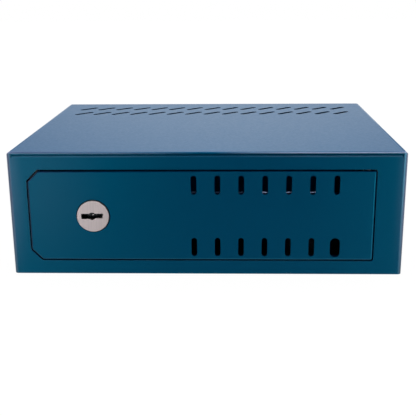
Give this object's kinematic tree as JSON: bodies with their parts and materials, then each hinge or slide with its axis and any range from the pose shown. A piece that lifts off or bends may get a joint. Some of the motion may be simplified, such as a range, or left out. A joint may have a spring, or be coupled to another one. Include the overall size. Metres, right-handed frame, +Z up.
{
  "type": "dvr lock box",
  "caption": "Flat steel security box with a flush hinged front door, double-bit lever lock, upright door vents, slanted top vents and rear cable entries.",
  "frame": {"origin": "middle of the underside", "axes": "+X to the right seen from the front, +Y to the rear, +Z up; the door faces -Y"},
  "size_m": [0.452, 0.357, 0.1452],
  "materials": {
    "powder_coat": "satin powder coat",
    "brushed_disc": "brushed upright",
    "bright_steel": "turned, bright",
    "zinc_plate": "zinc plated",
    "dark_steel": "blackened",
    "spring_steel": "blued",
    "brass": "stamped",
    "rubber": "matt moulded"
  },
  "bodies": {
    "cabinet": {"body_shell": "powder_coat", "front_frame": "powder_coat", "base_plate": "powder_coat", "rear_panel": "powder_coat", "door_stop_upper": "powder_coat", "door_stop_lower": "powder_coat", "bolt_keeper": "powder_coat", "hinge_lug_upper": "powder_coat", "hinge_lug_lower": "powder_coat", "hinge_pin_upper": "bright_steel", "hinge_pin_lower": "bright_steel", "cable_grommet_left": "rubber", "cable_grommet_right": "rubber"},
    "door": {"door_plate": "powder_coat", "door_stiffener": "powder_coat", "hinge_knuckle_upper": "powder_coat", "hinge_knuckle_lower": "powder_coat", "bolt_guide": "powder_coat", "hinge_washer_upper": "dark_steel", "hinge_washer_lower": "dark_steel", "lock_face_disc": "brushed_disc", "lock_case": "zinc_plate", "lock_cover": "zinc_plate", "lock_cover_screws": "bright_steel", "lock_studs": "bright_steel", "lock_nuts": "bright_steel", "lever_post": "bright_steel", "lever_springs": "spring_steel"},
    "bolt_work": {"lock_bolt_plate": "zinc_plate", "bolt_stump": "bright_steel", "bolt_carriage": "zinc_plate", "locking_bolts": "bright_steel", "carriage_screws": "bright_steel"},
    "key_works": {"key_rotor": "dark_steel", "key_guide_pin": "bright_steel"},
    "lever_1": {"lever_1": "brass"},
    "lever_2": {"lever_2": "brass"},
    "lever_3": {"lever_3": "brass"},
    "lever_4": {"lever_4": "brass"},
    "lever_5": {"lever_5": "brass"}
  },
  "joints": [
    {"name": "door_hinge", "type": "hinge", "parent": "cabinet", "child": "door", "pos_m": [0.1829, -0.1705, 0.06988], "axis": [0, 0, 1], "range_deg": [0, 100]},
    {"name": "bolt_slide", "type": "slide", "parent": "door", "child": "bolt_work", "axis": [-1, 0, 0], "range_m": [0, 0.01414]},
    {"name": "key_turn", "type": "hinge", "parent": "door", "child": "key_works", "pos_m": [-0.1313, -0.1715, 0.06988], "axis": [0, 1, 0], "range_deg": [0, 180.2]},
    {"name": "lever_1_lift", "type": "hinge", "parent": "door", "child": "lever_1", "pos_m": [-0.1553, -0.1715, 0.06988], "axis": [0, -1, 0], "range_deg": [0, 3], "stiffness_Nm_per_rad": 0.05, "springref_deg": -17.19, "deforming": ["lever_springs"]},
    {"name": "lever_2_lift", "type": "hinge", "parent": "door", "child": "lever_2", "pos_m": [-0.1553, -0.1715, 0.06988], "axis": [0, -1, 0], "range_deg": [0, 3], "stiffness_Nm_per_rad": 0.05, "springref_deg": -17.19},
    {"name": "lever_3_lift", "type": "hinge", "parent": "door", "child": "lever_3", "pos_m": [-0.1553, -0.1715, 0.06988], "axis": [0, -1, 0], "range_deg": [0, 3], "stiffness_Nm_per_rad": 0.05, "springref_deg": -17.19},
    {"name": "lever_4_lift", "type": "hinge", "parent": "door", "child": "lever_4", "pos_m": [-0.1553, -0.1715, 0.06988], "axis": [0, -1, 0], "range_deg": [0, 3], "stiffness_Nm_per_rad": 0.05, "springref_deg": -17.19},
    {"name": "lever_5_lift", "type": "hinge", "parent": "door", "child": "lever_5", "pos_m": [-0.1553, -0.1715, 0.06988], "axis": [0, -1, 0], "range_deg": [0, 3], "stiffness_Nm_per_rad": 0.05, "springref_deg": -17.19}
  ],
  "couplings": [
    {"joint": "key_turn", "follows": "bolt_slide", "rad_per_m": 222.22},
    {"joint": "lever_2_lift", "follows": "lever_1_lift", "ratio": 1},
    {"joint": "lever_3_lift", "follows": "lever_1_lift", "ratio": 1},
    {"joint": "lever_4_lift", "follows": "lever_1_lift", "ratio": 1},
    {"joint": "lever_5_lift", "follows": "lever_1_lift", "ratio": 1}
  ]
}
